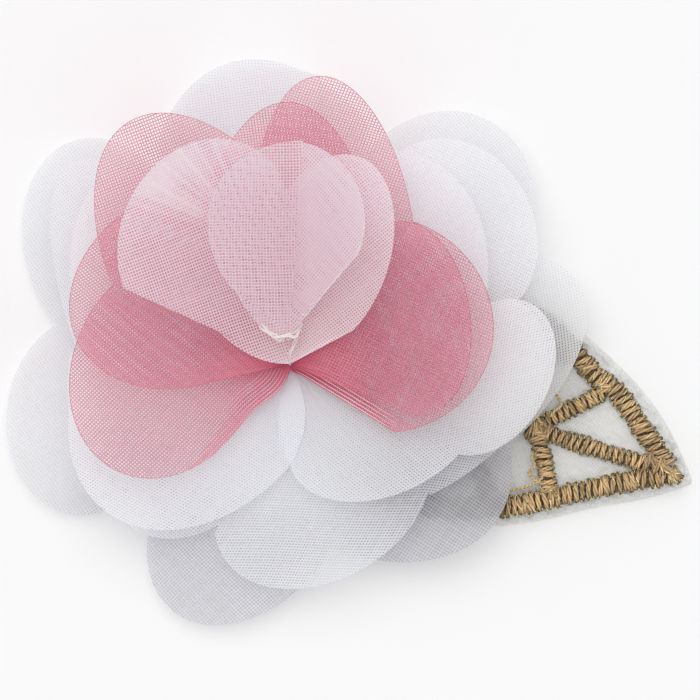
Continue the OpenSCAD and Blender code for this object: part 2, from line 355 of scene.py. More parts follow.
# %% Tables
# from, centre x, centre y, long, short, turn, rise, warp direction, warp pitch, weft direction, weft pitch
white_lower = np.array([
    [-20, 10.3, -3.6, 21.9, 10.65, 32, 0.50, 7, 0.30, -75, 0.27],
    [27, 14.7, 14.9, 10.8, 9.4, 59, -0.70, 38, 0.30, -56, 0.27],
    [72, 1.4, 5.2, 26.1, 14.9, -73, -1.75, 4, 0.30, 86, 0.27],
    [121, -18.4, 11.6, 11.3, 8.2, -74, -1.75, 35, 0.30, -51, 0.27],
    [171, -20.4, -5.1, 10.1, 8.0, 82, -1.75, 35, 0.30, -56, 0.27],
    [226, -3.9, -14.8, 12.7, 8.8, 52, -1.85, 42, 0.30, -49, 0.27],
    [283, 6.5, -6.5, 16.9, 11.8, -31, 0.40, 57, 0.31, -32, 0.28]])
white_middle = np.array([
    [16, 16.2, 13.1, 9.7, 8.3, -65, 1.3, 66, 0.30, -22, 0.27],
    [84, 2.4, 21.0, 13.7, 7.7, -20, 1.3, 8, 0.30, 97, 0.27],
    [120, -10.8, -1.8, 24.5, 8.5, -64, 1.3, 38, 0.29, -55, 0.27],
    [177, -10.5, -0.3, 17.3, 11.6, 81, 1.0, 53, 0.28, -46, 0.27],
    [246, 3.3, -13.4, 11.6, 8.1, 30, 1.2, 89, 0.27, -25, 0.27],
    [317, 9.25, -3.85, 17.6, 10.4, 25.5, 0.8, 82, 0.28, -24, 0.27]])
white_upper = np.array([
    [17, -3.1, -4.1, 30.0, 16.7, 51, 1.4, 27, 0.29, -62, 0.27],
    [68, 0.0, 14.4, 10.0, 10.0, 0, 1.4, 4, 0.30, 86, 0.27],
    [126, -14.8, 6.9, 12.8, 7.0, -81, 1.2, 38, 0.28, -55, 0.27],
    [178, -8.7, -2.3, 15.8, 11.7, 51, 1.0, 63, 0.275, -53, 0.27],
    [270, 9.3, -6.8, 9.9, 6.3, 23, 1.6, 50, 0.275, -58, 0.27],
    [332, 20.0, -1.3, 8.4, 5.8, 60, 0.8, -9, 0.276, -76, 0.27]])
pink_lower = np.array([
    [-33, 8.8, 4.0, 11.6, 10.8, -16, 2.6, 66, 0.300, -19, 0.27],
    [49, 4.6, 12.2, 16.6, 7.9, -83, 2.2, -21, 0.30, 73, 0.27],
    [99, -6.6, 8.5, 18.3, 10.3, -59, 2.2, -68, 0.30, 19, 0.27],
    [156, -12.3, -0.3, 11.5, 9.3, 65, 2.4, -45, 0.30, 48, 0.27],
    [232, 0, 0, 0, 0, 0, 2.4, 0, 0.3, 0, 0.3]])
pink_upper = np.array([
    [-32, 12.1, 4.5, 9.8, 5.9, -82, 1.0, 63, 0.297, -28, 0.308],
    [56, -0.6, 0.7, 25.4, 10.5, 89, 1.0, 9, 0.295, -82, 0.27],
    [115, -9.5, 7.9, 13.0, 9.8, 25, 1.2, -61, 0.27, 46, 0.285],
    [196, 0, 0, 0, 0, 0, 1.0, 0, 0.3, 0, 0.3]])
pale = np.array([
    [28, 3.5, 10.9, 10.3, 6.4, 71, 3.6, -54, 0.28, 42, 0.27],
    [91, -8.4, 12.5, 10.2, 8.4, 66, 3.0, -70, 0.307, 20, 0.27],
    [155.5, -6.25, 33.15, 13.75, 33.71, 11.67, 3.0, -70, 0.307, 20, 0.27],
    [178, 0, 0, 0, 0, 0, 3.0, 0, 0.3, 0, 0.3]])
cup = np.array([
    [50, -0.5, 10.9, 8.4, 7.8, 68, 3.0, 46, 0.275, -40, 0.28],
    [86, 4.2, 8.8, 12.9, 9.8, -26, 3.0, -88, 0.29, 0, 0.305],
    [141, -0.8, 4.3, 6.2, 3.9, -50, 3.0, -82, 0.29, 2, 0.30],
    [205, 0, 0, 0, 0, 0, 3.0, 0, 0.3, 0, 0.3]])
FROM, CENTRE_X, CENTRE_Y, LONG, SHORT, TURN, RISE, WARP_TO, WARP_PITCH, WEFT_TO, WEFT_PITCH = range(11)

# lobes, least radius, wall in the construction model, bowl, how far the gathering point lies in front
SHEETS = [
    (white_lower, 18.0, 1.05, 0.65, 0.0),
    (white_middle, 15.0, 1.05, 0.80, 0.0),
    (white_upper, 8.0, 1.05, 0.80, 0.0),
    (pink_lower, 0.9, 1.1025, 1.20, 0.0),
    (pink_upper, 0.9, 1.1025, 1.00, 0.0),
    (pale, 0.5, 1.2075, 0.80, 0.0),
    (cup, 0.5, 1.47, 0.00, 2.9)]
STACK_Z, GAP, RISE_RADIUS, SPREAD = 2.25, 0.2, 25.0, 35.0
# where each ply of cloth lies inside its wall, from the wall's middle
NESTED = (0.36, 0.1, -0.2, -0.3, -0.36, -0.42, -0.1)
print("lobes:", sum(int((lobes[:, LONG] > 0).sum()) for lobes, *_ in SHEETS))

# %% [markdown]
# ## Where a sheet lies
#
# Two functions place a sheet. The first gives how far its edge is from the gathering point at
# each angle, on the far side of the lobe's ellipse. The second gives its height: the height of
# the sheets below it, and its own rise, which blends from lobe to lobe and bows up inside each.

# %% Outline and height
def bell(away, width):
    """A smooth hump, 1 in the middle: the exponential of minus the square of away over width."""
    return np.exp(-(away / width) ** 2)


def step_up(away, width):
    """A smooth step from 0 up to 1 around 0: one over one plus the exponential of minus away over width."""
    return 1 / (1 + np.exp(-away / width))


def lobe_ends(lobes):
    """The angle where each lobe ends: the next row's first angle, or the first row's after a whole turn."""
    return np.append(lobes[1:, FROM], lobes[0, FROM] + 360)


def far_side(lobe, angle):
    """Distance from the gathering point to the far side of the ellipse. In the ellipse's own axes it is a
    unit circle: the ray's far crossing is b plus the root of b squared minus a k, over a, where k is the
    centre's own square less 1."""
    if lobe[LONG] == 0:
        return np.zeros_like(angle)
    turn, bearing = np.radians(lobe[TURN]), np.radians(angle)
    ray = np.stack([np.cos(bearing - turn) / lobe[LONG], np.sin(bearing - turn) / lobe[SHORT]])
    centre = np.array([
        (lobe[CENTRE_X] * np.cos(turn) + lobe[CENTRE_Y] * np.sin(turn)) / lobe[LONG],
        (lobe[CENTRE_Y] * np.cos(turn) - lobe[CENTRE_X] * np.sin(turn)) / lobe[SHORT]])
    a = (ray ** 2).sum(0)
    b = (ray * centre[:, None]).sum(0)
    inside = b ** 2 - a * (centre @ centre - 1)
    return np.where(inside > 0, (b + np.sqrt(np.maximum(inside, 0))) / a, 0)


def own_rise(level, bearing):
    """A sheet's rise at a bearing: its lobes' rises weighed by nearness, and a bowl over each lobe's
    middle."""
    lobes, _, _, bowl, _ = SHEETS[level]
    middle = (lobes[:, FROM] + lobe_ends(lobes)) / 2
    span = lobe_ends(lobes) - lobes[:, FROM]
    away = (bearing[..., None] - middle + 180) % 360 - 180
    weight = bell(away, SPREAD)
    bowed = np.where(abs(away / span) < 0.5, np.cos(np.pi * away / span) ** 2, 0).sum(-1)
    return (weight * lobes[:, RISE]).sum(-1) / weight.sum(-1) + bowl * bowed


def sheet_height(level, x, y):
    """Height of a sheet's middle surface over the point x, y, in millimetres."""
    bearing, out = np.degrees(np.arctan2(y, x)), (x * x + y * y) / RISE_RADIUS ** 2
    base = STACK_Z + sum(SHEETS[i][2] + GAP for i in range(level)) + SHEETS[level][2] / 2
    height = base + out * sum(own_rise(i, bearing) for i in range(level + 1))
    if level == 6:
        height = height + 2.4 * (1 - bell(x - 1.0, 5))
    return height


def crease(x, y):
    """The cup's fold line at x = 1 mm: a sharp valley, which goes down as the exponential of minus the
    distance from it. It is 0.5 mm deep low in the cup and fades out at the top. Its right side is the
    steeper one."""
    deep = 0.5 * step_up(15 - y, 2.0)
    return -deep * np.exp(-np.where(x > 1, (x - 1) / 0.7, (1 - x) / 1.8))


over_back = [sheet_height(level, np.zeros(1), np.full(1, 10.0))[0] for level in range(len(SHEETS))]
print("heights of the sheets 10 mm behind the stitch, mm:", np.round(over_back, 1))

# %% [markdown]
# ## Columns of a sheet
#
# A sheet is a grid: its columns run from the stitch out to the edge and its rings run round. The
# columns crowd together at the notches, where the outline turns sharply. A pleat or a hem is a
# few more columns at one angle, moved sideways: out, back under the cloth and out again for a
# pleat, and back under the edge for a hem.

# %% Columns
def sheet_columns(level, columns, folds):
    """The columns as rows of: angle, reach, lobe, sideways shift, lift. Folds gives for an angle the list of
    (sideways shift, lift, lobe) that a pleat or hem adds there."""
    lobes, hub = SHEETS[level][:2]
    rows = []
    for i, end in enumerate(lobe_ends(lobes)):
        if lobes[i, LONG] == 0:
            continue
        start = lobes[i, FROM]
        part = (1 - np.cos(np.pi * np.arange(columns + 1) / columns)) / 2
        angle = start + part * (end - start)
        reach = np.maximum(far_side(lobes[i], angle), hub)
        if level == 3:
            # the last ellipse ends just short of the straight edge, and the sheet ends with it
            angle, reach = angle[reach > hub], reach[reach > hub]
        before, after = lobes[i - 1], lobes[(i + 1) % len(lobes)]
        reach[0] = max(reach[0], far_side(before, angle[:1])[0])
        reach[-1] = max(reach[-1], far_side(after, angle[-1:])[0])
        rows += [(a, r, i, 0.0, 0.0) for a, r in zip(angle, reach)]
        if end in folds:
            rows += [(end, reach[-1], lobe, shift, lift) for shift, lift, lobe in folds[end]]
        if start in folds and i == 0:
            turned = [(start, reach[0], lobe, shift, lift) for shift, lift, lobe in folds[start]]
            rows = turned + rows
    return np.array(rows)


print("columns of each sheet, with 36 steps to a lobe:",
      [len(sheet_columns(level, 36, {})) for level in range(len(SHEETS))])

# %% [markdown]
# ## Points of a sheet
#
# Near the stitch the cloth is gathered into small folds, which fade away outwards. They are an
# uneven wave round the flower, added to the sheet's own height. The lower rose sheet's straight
# edges lean over its opening near the stitch, and the pale sheet has a few straight puckers.

# %% Points
def ripples(bearing, counts, seed):
    """A smooth uneven wave round the flower: the mean of cosines with these counts to the turn, each at its
    own phase."""
    phases = np.random.default_rng(seed).uniform(0, 2 * np.pi, len(counts))
    total = sum(np.cos(np.radians(bearing) * n + p) for n, p in zip(counts, phases))
    return total / len(counts)


# the bearings of the lower rose sheet's straight edges
LEFT_EDGE, RIGHT_EDGE = 232, -33


def closing(inward, radius):
    """How far the lower rose sheet's straight edges lean over its opening, at each radius: the left one is
    drawn over it near the stitch, as a bell over the radius, and the right one a little, all along. They
    cross at the stitch."""
    near = np.clip(radius / 0.3, 0, 1)
    if inward > 0:
        return near * (0.28 * bell(radius, 9) + 0.3 * bell(radius, 1.2))
    return near * 0.8 * bell(radius - 2.4, 2.6)


def puckers(x, y):
    """A few straight puckers in the pale petal's left half, which fan out from one point: a sum of bells
    over the angle round that point, each with its own place, width and height, which fade out near it and
    far from it."""
    far, turn = np.hypot(x + 3.5, y - 12.3), np.degrees(np.arctan2(y - 12.3, x + 3.5))
    lines = sum(tall * bell(turn - at, wide) for at, wide, tall in (
        (152, 7.0, 0.38), (131, 6.0, 0.28), (163, 1.2, 0.2), (157, 1.0, 0.3), (151, 0.9, 0.5),
        (146, 0.8, 0.25), (140, 0.9, 0.5), (135, 0.8, 0.25), (130, 0.9, 0.5), (122, 0.9, 0.35),
        (113, 1.0, 0.45)))
    return lines * np.clip((far - 4.5) / 2, 0, 1) * np.clip((14.5 - far) / 3, 0, 1)


def sheet_points(level, table, rings, inner, gather, wave, seed):
    """The grid's x, y and z, with each point's radius and its part of the way out. The radius goes from
    inner to the column's reach, and a point's place is its column's direction times its radius, plus the
    column's sideways shift. Height is the sheet's own, plus small folds that die away from the stitch as an
    exponential, plus a wave that grows towards the edge."""
    angle, reach, _, shift, lift = table.T
    part = np.linspace(0, 1, rings)[:, None] ** 0.9
    radius = inner + part * (reach - inner)
    bow = np.sin(np.pi * part) ** 0.8
    bearing = np.radians(angle)
    side = shift * bow
    if level == 3:
        side = side + closing(-1, radius) * bell(LEFT_EDGE - angle, 14)
        side = side - closing(1, radius) * bell(RIGHT_EDGE - angle, 14)
    x = radius * np.cos(bearing) - side * np.sin(bearing)
    y = radius * np.sin(bearing) + side * np.cos(bearing) + SHEETS[level][4]
    depth, fade, count = gather
    folds = ripples(angle, (count, count * 0.6, count * 1.35), seed)
    ruffle = depth * np.exp(-radius / fade) * radius / (radius + 2) * folds
    swell = wave * part ** 2 * ripples(angle, (9, 14, 23), seed + 7)
    z = sheet_height(level, x, y) + NESTED[level] + ruffle + swell + lift * bow
    if level == 3:
        z = z + bell(LEFT_EDGE - angle, 20) * (0.12 * bell(radius, 1) - 0.9 * ruffle)
    if level == 5:
        z = z + 0.1 * puckers(x, y)
    if level == 6:
        z = z + crease(x, y)
    return x, y, z, radius, part


lean = closing(-1, np.linspace(0, 15, 151))
print("the lower rose sheet's left edge leans over the opening by up to, mm:", round(lean.max(), 2))

# %% [markdown]
# ## Where the threads lie close
#
# Where cloth is gathered, folded or turned under, its threads slide together and close the holes
# between them, so it looks denser and its colour deeper. Each point carries a number for that,
# from 0 as woven to 1 side by side. Another number gives painted shade on the two lowest white
# sheets, most of all in front, where they lie close to the table.

# %% Packed threads
def crowded(level, x, y):
    """Where else the threads lie close: along the pale petal's puckers and in its right half, and on the
    right flank of the cup. The white cloth is smoother behind, at the left and over the leaf than in
    front."""
    if level < 3:
        return 0.42 * step_up(y - 0.35 * x - 1.0, 2) + 0.3 * bell(y + 2, 7) * step_up(x - 15, 1.5)
    if level == 5:
        return puckers(x, y) + 0.22 * step_up(x - 1.0, 0.5)
    if level == 6:
        return 0.28 * step_up(x - 1.2, 0.25)
    return np.zeros_like(x)


def packing_of(level, angle, x, y, radius, packing, streaks, tucks, seed):
    """How closely the threads lie, from 0 as woven to 1 side by side. Packing is the most of it, at the
    stitch, and the distance over which it fades. Streaks of it run out from the stitch on uneven bearings,
    as strong and as far as streaks says. Tucks are distances from a straight edge at which narrow bells of
    it are added."""
    lobes = SHEETS[level][0]
    strength, length = packing
    more, far = streaks
    ridge = np.clip(ripples(angle, (29, 47, 61, 83), seed + 3) * 1.6, 0, 1)
    reach_out = far * (1 + 0.6 * ripples(angle, (7, 11, 17), seed + 5))
    packed = strength * np.exp(-(radius / length) ** 1.5) + more * ridge * bell(radius, reach_out)
    packed = packed + crowded(level, x, y)
    from_edge = np.clip(np.minimum(angle - lobes[0, FROM], lobes[-1, FROM] - angle), 0, 60)
    aside = radius * np.sin(np.radians(from_edge))
    away = np.clip((radius - 3) / 3, 0, 1)
    bells = sum(0.35 * bell(aside - at, 0.11) for at in tucks)
    return np.clip(packed + away * bells, 0, 1)


# bearings in degrees, and how much painted shade the sheet gets there, for the lowest white sheet and the
# next one
PAINTED_SHADE_LOWER = ((0, 22, 40, 205, 222, 280, 295, 335, 345, 360), (0, 0, 0.24, 0.2, 0.7, 0.7, 1, 1, 0.1, 0))
PAINTED_SHADE_MIDDLE = ((0, 60, 90, 150, 180, 235, 250, 300, 315, 335, 345, 360),
              (0, 0, 0.16, 0.16, 0, 0, 0.12, 0.18, 0.5, 0.5, 0.05, 0))


def dimmed(level, x, y):
    """How much painted shade the two lowest white sheets get: by a table over the bearing, most of all in
    front, where they hang lowest. It sets in over 5 mm, from 14 mm or 11 mm out."""
    bearing, far = np.degrees(np.arctan2(y, x)) % 360, np.hypot(x, y)
    if level == 0:
        return np.interp(bearing, *PAINTED_SHADE_LOWER) * (0.1 + 0.9 * np.clip((far - 14) / 5, 0, 1))
    if level == 1:
        return np.interp(bearing, *PAINTED_SHADE_MIDDLE) * np.clip((far - 11) / 5, 0, 1)
    return np.zeros_like(x)


print("how dim the lowest sheet is in front, 25 mm out:", round(float(dimmed(0, 0.0, -25.0)), 2))

# %% [markdown]
# ## A whole sheet
#
# The weave's map counts threads. Gathers turn the cloth, so each lobe has its own directions for
# the two families of threads, and its own pitches. One function puts a sheet together from its
# columns, points, packing and maps. It also keeps the grid, because the cup's rolled edge follows
# it later.

# %% Petal sheet
def weave_map(lobes, lobe, x, y, seed):
    """How many threads of each family lie before this point: the way across them over their pitch, and a slow
    drift, since cloth is never quite straight."""
    drift = 0.35 * np.sin(x / 3.1 + seed) + 0.3 * np.sin(y / 2.3 + 2 * seed)
    counts = []
    for to, pitch in ((WARP_TO, WARP_PITCH), (WEFT_TO, WEFT_PITCH)):
        toward = np.radians(lobes[lobe, to])
        counts.append((x * np.cos(toward) + y * np.sin(toward)) / lobes[lobe, pitch] + drift)
    return np.stack(counts, -1)


grids = {}


def petal_sheet(name, level, finish, node, columns=36, rings=44, folds=None, inner=0.13,
                gather=(0.28, 5.0, 44), wave=0.12, packing=(0.8, 4.5), streaks=(0.3, 8.0), tucks=(), seed=1):
    """One gathered sheet: its columns, their points, how closely its threads lie, and its two maps. The
    second map lays the sheet out flat, for colours that are stored as pictures."""
    table = sheet_columns(level, columns, folds or {})
    angle, reach, lobe = table[:, 0], table[:, 1], table[:, 2].astype(int)
    x, y, z, radius, part = sheet_points(level, table, rings, inner, gather, wave, seed)
    packed = packing_of(level, angle, x, y, radius, packing, streaks, tucks, seed)
    weave = weave_map(SHEETS[level][0], lobe, x, y, seed)
    turned = np.radians(angle + table[:, 3] * 2)
    flat = np.stack([radius * np.cos(turned), radius * np.sin(turned)], -1) + np.array([0, SHEETS[level][4]])
    low, high = flat.min((0, 1)), flat.max((0, 1))
    points = np.stack([x, y, z], -1) * MM
    piece = new_piece(name, points, grid_faces(rings, len(angle), False),
                      {"Weave": weave, "OFBake": (flat - low) / (high - low).max()},
                      {"packed": packed, "rim": (1 - part) * reach, "dim": dimmed(level, x, y)}, weld=True)
    piece.data.materials.append(finish)
    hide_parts(node)
    grids[name] = points / MM, angle
    return piece


first_lobe = SHEETS[0][0][0]
print("threads to the centimetre in the lowest sheet's first lobe:", round(10 / first_lobe[WARP_PITCH]))

# %% [markdown]
# ## The white petals
#
# Three white sheets make the outside of the flower. The upper one has a pleat at the front: its
# left petal passes over to the right, turns back under and starts again as the right petal, so
# the cloth is three plies deep there and looks whiter.

# %% White sheets
PLEAT_HALF, PLEAT_LIFT = 1.6, 0.16
pleat = [(s * PLEAT_HALF, PLEAT_LIFT, 3) for s in (0.35, 0.7, 0.92, 1.0)]
pleat += [(s * PLEAT_HALF, 0.0, 3) for s in (0.97, 0.4, -0.4, -0.97)]
pleat += [(s * PLEAT_HALF, -PLEAT_LIFT, 4) for s in (-1.0, -0.92, -0.7, -0.35)]
petals_white_lower = petal_sheet(
    "white_petals_lower", 0, white_cloth_painted_shade, "petals_white_lower", seed=11)
petals_white_middle = petal_sheet(
    "white_petals_middle", 1, white_cloth, "petals_white_middle", seed=12)
petals_white_upper = petal_sheet(
    "white_petals_upper", 2, white_cloth, "petals_white_upper",
    folds={270: pleat}, gather=(0.2, 7.0, 44), packing=(0.85, 9.0), streaks=(0.5, 10.0), seed=13)

# %% [markdown]
# ## The rose petals
#
# Two rose sheets lie on the white ones. They are open at the front. Their straight edges there are
# turned under, apart from the lower sheet's left one, and the threads lie close in narrow stripes
# along them. Near the stitch the lower sheet's edges are drawn together over the opening.

# %% Rose sheets
def hem(width, lobe, inward):
    """Columns that turn an edge back under itself by width millimetres; inward is 1 or -1."""
    steps = [(0.15, -0.05), (0.4, -0.1), (0.7, -0.12), (1.0, -0.12)]
    made = [(inward * width * s, lift, lobe) for s, lift in steps]
    return made[::-1] if inward > 0 else made


petals_pink_lower = petal_sheet(
    "rose_petals_lower", 3, rose_cloth, "petals_pink_lower", columns=52,
    folds={RIGHT_EDGE: hem(1.5, 0, 1)}, packing=(0.85, 4.0), streaks=(0.18, 8.0),
    tucks=(0.12, 0.5, 0.9, 1.35), seed=14)
petals_pink_upper = petal_sheet(
    "rose_petals_upper", 4, rose_cloth, "petals_pink_upper", columns=44,
    folds={-32: hem(0.6, 0, 1), 196: hem(0.6, 2, -1)}, packing=(0.9, 4.0), tucks=(0.1, 0.45), seed=15)

# %% [markdown]
# ## The pale petals and the cup
#
# A pale sheet stands behind the middle, and the last petal is folded into a small cup with a
# crease down its middle. The cup's right half stands up more steeply, so its threads look
# closer together.

# %% Pale sheet and cup
petals_pale = petal_sheet(
    "pale_petals", 5, blush_cloth, "petals_pale", columns=150, rings=80,
    folds={28: hem(0.4, 0, 1), 178: hem(0.4, 3, -1)}, inner=0.1, gather=(0.12, 4.0, 44),
    packing=(0.5, 3.0), streaks=(0.1, 8.0), seed=16)
petal_cup = petal_sheet(
    "cup_petal", 6, cup_cloth, "petal_cup",
    folds={50: hem(0.4, 0, 1), 205: hem(0.5, 2, -1)}, inner=0.1, gather=(0.12, 3.0, 44), wave=0.06,
    packing=(0.35, 2.0), streaks=(0.1, 8.0), seed=17)

# %% [markdown]
# ## The leaf
#
# The leaf is one ply of ivory organza. The stitched veins pull at it, so it lies a little higher
# in the middle, drops to the table at its rim, and puckers along the stitching.

# %% Leaf cloth
# x, upper edge, lower edge
leaf_stations = np.array([
    [-3.5, 0.7, -0.7], [-2.5, 2.6, -2.6], [0.0, 4.4, -4.2], [5.0, 7.6, -9.9], [10.0, 9.6, -13.9],
    [15.0, 9.9, -16.0], [20.0, 8.8, -16.3], [25.0, 6.4, -15.7], [30.0, 2.6, -14.5], [35.0, -2.3, -13.6],
    [38.0, -6.6, -12.8], [40.2, -11.4, -12.0]])


def smooth(points, steps):
    """A smooth line through points: each stretch is a cubic whose slope at a point is half the step between
    that point's neighbours."""
    points = np.asarray(points, dtype=float)
    padded = np.concatenate([points[:1], points, points[-1:]])
    a, b, c, d = (padded[i:len(padded) - 3 + i][:, None] for i in range(4))
    t = (np.arange(steps) / steps)[None, :, None]
    curve = t ** 2 * (2 * a - 5 * b + 4 * c - d) + t ** 3 * (3 * b - a - 3 * c + d)
    made = 0.5 * (2 * b + t * (c - a) + curve)
    return np.concatenate([made.reshape(-1, points.shape[1]), points[-1:]])


def leaf_height(x, y, part, rim):
    """Height of the leaf: 0.16 mm at the rim, and it rises by up to 0.76 mm towards the middle. Twenty
    waves in chance directions crinkle it, most of all in the margin outside the stitched rails."""
    crown = (1 - abs(2 * part - 1) ** 5) * np.clip((leaf_stations[-1, 0] - x) / 5, 0, 1) ** 0.4
    chance = np.random.default_rng(31)
    crinkle = np.zeros_like(x)
    for length in np.geomspace(0.42, 1.6, 20):
        turn, phase = chance.uniform(0, 2 * np.pi, 2)
        crinkle += length ** 0.7 * np.sin((x * np.cos(turn) + y * np.sin(turn)) * 2 * np.pi / length + phase)
    margin = 0.35 + 0.65 * np.clip((2.8 - rim) / 1.2, 0, 1)
    return 0.16 + 0.76 * crown + crinkle * 0.05 * margin * np.clip(0.3 + rim / 0.8, 0, 1)


def leaf_piece(across=150):
    """Rows follow the leaf's length and columns go from its lower to its upper edge. Its threads run at 35
    degrees, and lie side by side in the margin outside the rails, 2.4 mm wide."""
    line = smooth(leaf_stations, 22)
    part = (1 - np.cos(np.pi * np.linspace(0, 1, across))) / 2
    x = np.repeat(line[:, :1], across, axis=1)
    y = line[:, 2:3] + part * (line[:, 1:2] - line[:, 2:3])
    rim = np.minimum(part, 1 - part) * (line[:, 1:2] - line[:, 2:3])
    z = leaf_height(x, y, part, rim)
    drift = 0.3 * np.sin(x / 2.1) + 0.3 * np.sin(y / 1.7)
    turn = np.radians(35)
    weave = np.stack([(x * np.cos(turn) + y * np.sin(turn)) / 0.30 + drift,
                      (y * np.cos(turn) - x * np.sin(turn)) / 0.28 + drift], -1)
    bake = np.stack([x + 3.5, y + 16.5], -1) / 44
    packed = 0.1 + 0.9 * np.clip((2.4 - rim) / 0.6, 0, 1)
    faces = grid_faces(len(line), across, False)[:, ::-1]
    return new_piece("leaf_cloth", np.stack([x, y, z], -1) * MM, faces,
                     {"Weave": weave, "OFBake": bake}, {"packed": packed, "rim": rim}, weld=True)


leaf = leaf_piece()
leaf.data.materials.append(ivory_cloth)
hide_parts("leaf")

# %% [markdown]
# ## Embroidery thread
#
# The veins are stitched in a bronze thread of soft twisted fibres, and a thin gold tinsel runs
# among them. One material serves both: a value on the mesh says where the thread is metal, and
# another gives each stitch its own tone. That tone also carries painted shade, at a stitch's ends,
# under its plies, on the padding and under the petals, and the tinsel's painted reflections. The
# twist is a slanting wave on the thread's own UV map.

# %% Bronze and gold thread
def stitch_thread():
    """Colour goes from dark to light with the stitch's tone and the twist's wave, and to gold where metal
    is 1."""
    finish, new, surface = new_finish("bronze_thread")
    tone, metal = mesh_value(new, "tone"), mesh_value(new, "metal")
    twist, fibre = twist_wave(new, 9.0), patches(new, 5200.0, 2.0)
    shade = (tone * 0.85 + (twist - 0.5) * 0.3 + (fibre - 0.5) * 0.7).clamped()
    bronze = shade.mix((0.03, 0.014, 0.004), (1.0, 0.68, 0.34))
    gold = shade.mix((0.09, 0.058, 0.01), (1.0, 0.89, 0.52))
    feed(surface, Base_Color=metal.mix(bronze, gold), Metallic=metal * 0.9, Roughness=0.62 - metal * 0.4,
         Normal=bumps(new, 0.6, 0.04, twist + fibre), Sheen_Weight=0.2, Specular_IOR_Level=0.35)
    return finish


bronze_finish = stitch_thread()
print("nodes in the thread's material:", len(bronze_finish.node_tree.nodes))

# %% [markdown]
# ## Satin stitches
#
# A satin-stitched vein is a row of threads laid side by side across a padded line. Each stitch
# comes up through the cloth on one side, arches over the padding and goes down on the other. So
# each stitch is one short bent tube, and all the stitches of a vein are made at once as one array.

# %% Tubes as arrays
def sideways(lines):
    """Two unit vectors across each line, at each step: one level, and one square to it and to the line."""
    step = np.gradient(lines, axis=1)
    step /= np.linalg.norm(step, axis=-1, keepdims=True) + 1e-12
    side = np.cross(step, [0.0, 0.0, 1.0])
    side /= np.linalg.norm(side, axis=-1, keepdims=True) + 1e-9
    return side, np.cross(side, step)


def tubes(lines, thickness, sides, tones, metal):
    """Many tubes at once. Lines is tubes by steps by 3, thickness is the radius at each step, and tones is
    one number for each tube, or one for each of its steps. A ring stands across the line's direction."""
    side, up = sideways(lines)
    turn = np.arange(sides) / sides * 2 * np.pi
    ring = side[:, :, None] * np.cos(turn)[:, None] + up[:, :, None] * np.sin(turn)[:, None]
    points = lines[:, :, None] + ring * thickness[..., None, None]
    count, steps = lines.shape[:2]
    one = grid_faces(steps, sides, True)
    faces = (one[None] + np.arange(count)[:, None, None] * steps * sides).reshape(-1, 4)
    length = np.cumsum(np.linalg.norm(np.diff(lines, axis=1, prepend=lines[:, :1]), axis=-1), axis=1)
    around = np.broadcast_to(turn / (2 * np.pi), points.shape[:3])
    uv = np.stack([np.repeat(length[..., None], sides, -1), around], -1)
    tone = np.broadcast_to(np.reshape(tones, (count, -1, 1)), points.shape[:3])
    return points.reshape(-1, 3), faces, uv.reshape(-1, 2), tone.ravel(), np.full(tone.size, float(metal))


def join(parts):
    """Several arrays of tubes as one: faces are moved up by the number of points before them."""
    offset = np.cumsum([0] + [len(p[0]) for p in parts])
    return (np.concatenate([p[0] for p in parts]),
            np.concatenate([p[1] + o for p, o in zip(parts, offset)]),
            *(np.concatenate([p[i] for p in parts]) for i in (2, 3, 4)))


def wound(lines, thickness, spread, turns, plies, sides, tones, metal, chance):
    """Plies wound round middle lines, all in millimetres. Ply k stands off its line by the spread, at an
    angle of k parts of a whole turn, which grows by so many turns from the line's start to its end. Its
    tone falls by up to 0.44 of itself where the ply passes underneath, as painted shade."""
    side, up = sideways(lines)
    count, steps = lines.shape[:2]
    start = chance.uniform(0, 2 * np.pi, (count, 1))
    made = []
    for k in range(plies):
        angle = start + 2 * np.pi * (k / plies + turns * np.linspace(0, 1, steps))
        off = side * np.cos(angle)[..., None] + up * np.sin(angle)[..., None]
        # painted shade: darker where the ply passes underneath
        tone = np.reshape(tones, (count, -1)) * (0.78 + 0.22 * np.sin(angle))
        ply = lines + off * np.reshape(spread, (-1, steps, 1))
        made.append(tubes(ply * MM, thickness * MM, sides, tone, metal))
    return made


def walked(line):
    """The distance along a line of points, at each of them."""
    return np.append(0, np.cumsum(np.linalg.norm(np.diff(line, axis=0), axis=1)))


def along_line(points, distance):
    """Places and directions at these distances along a smooth line, and the line's length. Past its ends the
    line goes straight on."""
    line = smooth(points, 24)
    length = walked(line)
    inside = np.clip(distance, 0, length[-1])
    place, ahead, back = (np.stack([np.interp(inside + more, length, line[:, i]) for i in (0, 1)], -1)
                          for more in (0, 0.2, -0.2))
    way = (ahead - back) / np.linalg.norm(ahead - back, axis=-1, keepdims=True)
    return place + way * (distance - inside)[:, None], way, length[-1]


trial = tubes(np.array([[[0.0, 0, 0], [1, 0, 0], [2, 0, 0]]]), np.ones((1, 3)), 6, [0.5], 0)
print("a tube of three rings with six sides:", len(trial[0]), "points and", len(trial[1]), "faces")

# %% [markdown]
# ## One stitch
#
# A stitch's thread is three plies twisted together, so it is made of three fine tubes wound round
# the stitch's line. Thin gold tinsel is wound round some of them, and lies in small loops at the
# feet. Thread under the petals is painted much darker, as their shade, and thread on the open part
# of the leaf is paler.

# %% Stitches
# a stitch's steps across the band
ACROSS = np.linspace(-1, 1, 9)
# radius of a ply and how far it stands off the stitch's line, and the same for the tinsel
PLY, PLY_OFF, TINSEL, TINSEL_OFF = 0.115, 0.145, 0.075, 0.245
# the line where the petals' edge crosses the leaf, as y and x in millimetres
PETALS_END = np.array([[-15, 21.3], [-12.3, 22.2], [-8, 22.2], [-4.6, 25.0], [0.2, 28.8], [2.5, 29.3]])


def painted_petal_shade(x, y):
    """Painted shade of the petals: 1 on the open part of the leaf and 0.15 under the petals, a smooth step
    over the distance from the petals' edge."""
    edge = np.interp(y, PETALS_END[:, 0], PETALS_END[:, 1])
    return 0.15 + 0.85 * step_up(x - edge, 0.15)


